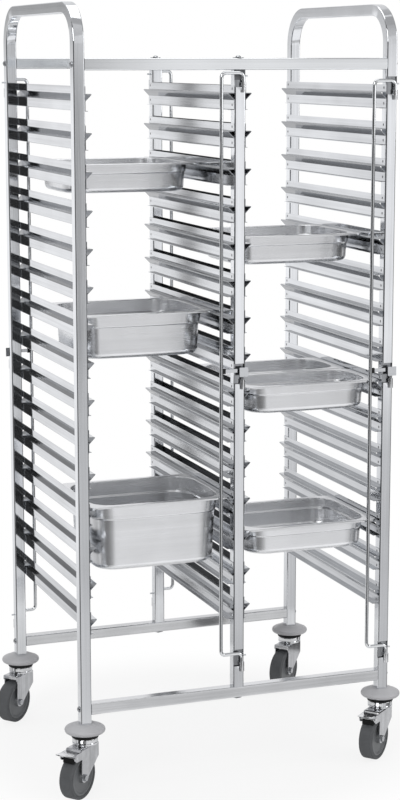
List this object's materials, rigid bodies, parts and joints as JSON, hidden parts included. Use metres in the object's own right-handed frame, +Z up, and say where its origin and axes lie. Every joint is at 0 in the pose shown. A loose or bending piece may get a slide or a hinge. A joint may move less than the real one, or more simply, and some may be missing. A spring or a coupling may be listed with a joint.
{
  "type": "double rack trolley",
  "caption": "Free-standing double tray rack trolley of square tube with folded runners, pans, swinging gates and swivel casters with brakes.",
  "frame": {"origin": "on the floor, midway between the end frames and between the front and rear posts", "axes": "+Z up, +Y to the back, +X to the right seen from the braked side"},
  "size_m": [0.8461, 0.6603, 1.716],
  "materials": {
    "tube_steel": "polished stainless steel",
    "runner_steel": "folded stainless sheet",
    "rod_steel": "polished stainless rod",
    "bolt_steel": "polished",
    "plug_nylon": "moulded nylon with a threaded insert",
    "bumper_plastic": "soft grey plastic",
    "seal_rubber": "black",
    "caster_chrome": "bright plated pressed steel",
    "tyre_rubber": "grey non-marking rubber",
    "hub_plastic": "moulded grey",
    "brake_rubber": "black",
    "cap_plastic": "black",
    "pan_steel": "satin drawn stainless steel"
  },
  "bodies": {
    "frame": {"left_end_frame": "tube_steel", "right_end_frame": "tube_steel", "centre_front_post": "tube_steel", "centre_rear_post": "tube_steel", "top_front_rail": "tube_steel", "top_rear_rail": "tube_steel", "bottom_front_rail": "tube_steel", "bottom_rear_rail": "tube_steel", "left_outer_runners": "runner_steel", "left_inner_runners": "runner_steel", "right_inner_runners": "runner_steel", "right_outer_runners": "runner_steel", "tube_end_plugs": "plug_nylon", "side_bolts": "bolt_steel", "post_bolts": "bolt_steel", "gate_sockets": "rod_steel", "gate_stop_studs": "bolt_steel", "caster_bumpers": "bumper_plastic", "caster_seals": "seal_rubber", "caster_heads": "caster_chrome", "caster_stems": "bolt_steel"},
    "front_left_caster": {"front_left_fork": "caster_chrome", "front_left_axle": "caster_chrome"},
    "front_left_wheel": {"front_left_tyre": "tyre_rubber", "front_left_hub": "hub_plastic"},
    "front_left_brake": {"front_left_brake_pedal": "caster_chrome", "front_left_brake_block": "brake_rubber"},
    "rear_left_caster": {"rear_left_fork": "caster_chrome", "rear_left_axle": "caster_chrome"},
    "rear_left_wheel": {"rear_left_tyre": "tyre_rubber", "rear_left_hub": "hub_plastic"},
    "front_right_caster": {"front_right_fork": "caster_chrome", "front_right_axle": "caster_chrome"},
    "front_right_wheel": {"front_right_tyre": "tyre_rubber", "front_right_hub": "hub_plastic"},
    "front_right_brake": {"front_right_brake_pedal": "caster_chrome", "front_right_brake_block": "brake_rubber"},
    "rear_right_caster": {"rear_right_fork": "caster_chrome", "rear_right_axle": "caster_chrome"},
    "rear_right_wheel": {"rear_right_tyre": "tyre_rubber", "rear_right_hub": "hub_plastic"},
    "front_centre_gate": {"front_centre_gate_rod": "rod_steel", "front_centre_gate_handle": "rod_steel", "front_centre_gate_cap": "cap_plastic"},
    "front_right_gate": {"front_right_gate_rod": "rod_steel", "front_right_gate_handle": "rod_steel", "front_right_gate_cap": "cap_plastic"},
    "rear_centre_gate": {"rear_centre_gate_rod": "rod_steel", "rear_centre_gate_handle": "rod_steel", "rear_centre_gate_cap": "cap_plastic"},
    "rear_left_gate": {"rear_left_gate_rod": "rod_steel", "rear_left_gate_handle": "rod_steel", "rear_left_gate_cap": "cap_plastic"},
    "left_upper_pan_body": {"left_upper_pan": "pan_steel"},
    "left_middle_pan_body": {"left_middle_pan": "pan_steel"},
    "left_lower_pan_body": {"left_lower_pan": "pan_steel"},
    "right_upper_pan_body": {"right_upper_pan": "pan_steel"},
    "right_middle_front_pan_body": {"right_middle_front_pan": "pan_steel"},
    "right_middle_rear_pan_body": {"right_middle_rear_pan": "pan_steel"},
    "right_lower_pan_body": {"right_lower_pan": "pan_steel"}
  },
  "joints": [
    {"name": "front_left_swivel", "type": "hinge", "parent": "frame", "child": "front_left_caster", "pos_m": [-0.3575, -0.2705, 0.1155], "axis": [0, 0, 1], "continuous": true},
    {"name": "front_left_roll", "type": "hinge", "parent": "front_left_caster", "child": "front_left_wheel", "pos_m": [-0.38269, -0.29182, 0.05], "axis": [0.6461, -0.7632, 0], "continuous": true},
    {"name": "front_left_brake_hinge", "type": "hinge", "parent": "front_left_caster", "child": "front_left_brake", "pos_m": [-0.40482, -0.31056, 0.103], "axis": [0.6461, -0.7632, 0], "range_deg": [0, 8]},
    {"name": "rear_left_swivel", "type": "hinge", "parent": "frame", "child": "rear_left_caster", "pos_m": [-0.3575, 0.2705, 0.1155], "axis": [0, 0, 1], "continuous": true},
    {"name": "rear_left_roll", "type": "hinge", "parent": "rear_left_caster", "child": "rear_left_wheel", "pos_m": [-0.38269, 0.24918, 0.05], "axis": [0.6461, -0.7632, 0], "continuous": true},
    {"name": "front_right_swivel", "type": "hinge", "parent": "frame", "child": "front_right_caster", "pos_m": [0.3575, -0.2705, 0.1155], "axis": [0, 0, 1], "continuous": true},
    {"name": "front_right_roll", "type": "hinge", "parent": "front_right_caster", "child": "front_right_wheel", "pos_m": [0.33231, -0.29182, 0.05], "axis": [0.6461, -0.7632, 0], "continuous": true},
    {"name": "front_right_brake_hinge", "type": "hinge", "parent": "front_right_caster", "child": "front_right_brake", "pos_m": [0.31018, -0.31056, 0.103], "axis": [0.6461, -0.7632, 0], "range_deg": [0, 8]},
    {"name": "rear_right_swivel", "type": "hinge", "parent": "frame", "child": "rear_right_caster", "pos_m": [0.3575, 0.2705, 0.1155], "axis": [0, 0, 1], "continuous": true},
    {"name": "rear_right_roll", "type": "hinge", "parent": "rear_right_caster", "child": "rear_right_wheel", "pos_m": [0.33231, 0.24918, 0.05], "axis": [0.6461, -0.7632, 0], "continuous": true},
    {"name": "front_centre_gate_hinge", "type": "hinge", "parent": "frame", "child": "front_centre_gate", "pos_m": [0.007, -0.2835, 0.92], "axis": [0, 0, 1], "range_deg": [0, 90]},
    {"name": "front_right_gate_hinge", "type": "hinge", "parent": "frame", "child": "front_right_gate", "pos_m": [0.3645, -0.2835, 0.92], "axis": [0, 0, 1], "range_deg": [0, 90]},
    {"name": "rear_centre_gate_hinge", "type": "hinge", "parent": "frame", "child": "rear_centre_gate", "pos_m": [-0.007, 0.2835, 0.92], "axis": [0, 0, 1], "range_deg": [0, 90]},
    {"name": "rear_left_gate_hinge", "type": "hinge", "parent": "frame", "child": "rear_left_gate", "pos_m": [-0.3645, 0.2835, 0.92], "axis": [0, 0, 1], "range_deg": [0, 90]},
    {"name": "left_upper_pan_slide", "type": "slide", "parent": "frame", "child": "left_upper_pan_body", "axis": [0, 1, 0], "range_m": [-0.1942, 0.0992]},
    {"name": "left_middle_pan_slide", "type": "slide", "parent": "frame", "child": "left_middle_pan_body", "axis": [0, 1, 0], "range_m": [-0.1012, 0.1922]},
    {"name": "left_lower_pan_slide", "type": "slide", "parent": "frame", "child": "left_lower_pan_body", "axis": [0, 1, 0], "range_m": [-0.0002, 0.2932]},
    {"name": "right_upper_pan_slide", "type": "slide", "parent": "frame", "child": "right_upper_pan_body", "axis": [0, 1, 0], "range_m": [-0.0932, 0.2002]},
    {"name": "right_middle_front_pan_slide", "type": "slide", "parent": "frame", "child": "right_middle_front_pan_body", "axis": [0, 1, 0], "range_m": [0, 0.002]},
    {"name": "right_middle_rear_pan_slide", "type": "slide", "parent": "frame", "child": "right_middle_rear_pan_body", "axis": [0, 1, 0], "range_m": [-0.0025, 0.2012]},
    {"name": "right_lower_pan_slide", "type": "slide", "parent": "frame", "child": "right_lower_pan_body", "axis": [0, 1, 0], "range_m": [-0.0002, 0.2932]}
  ]
}
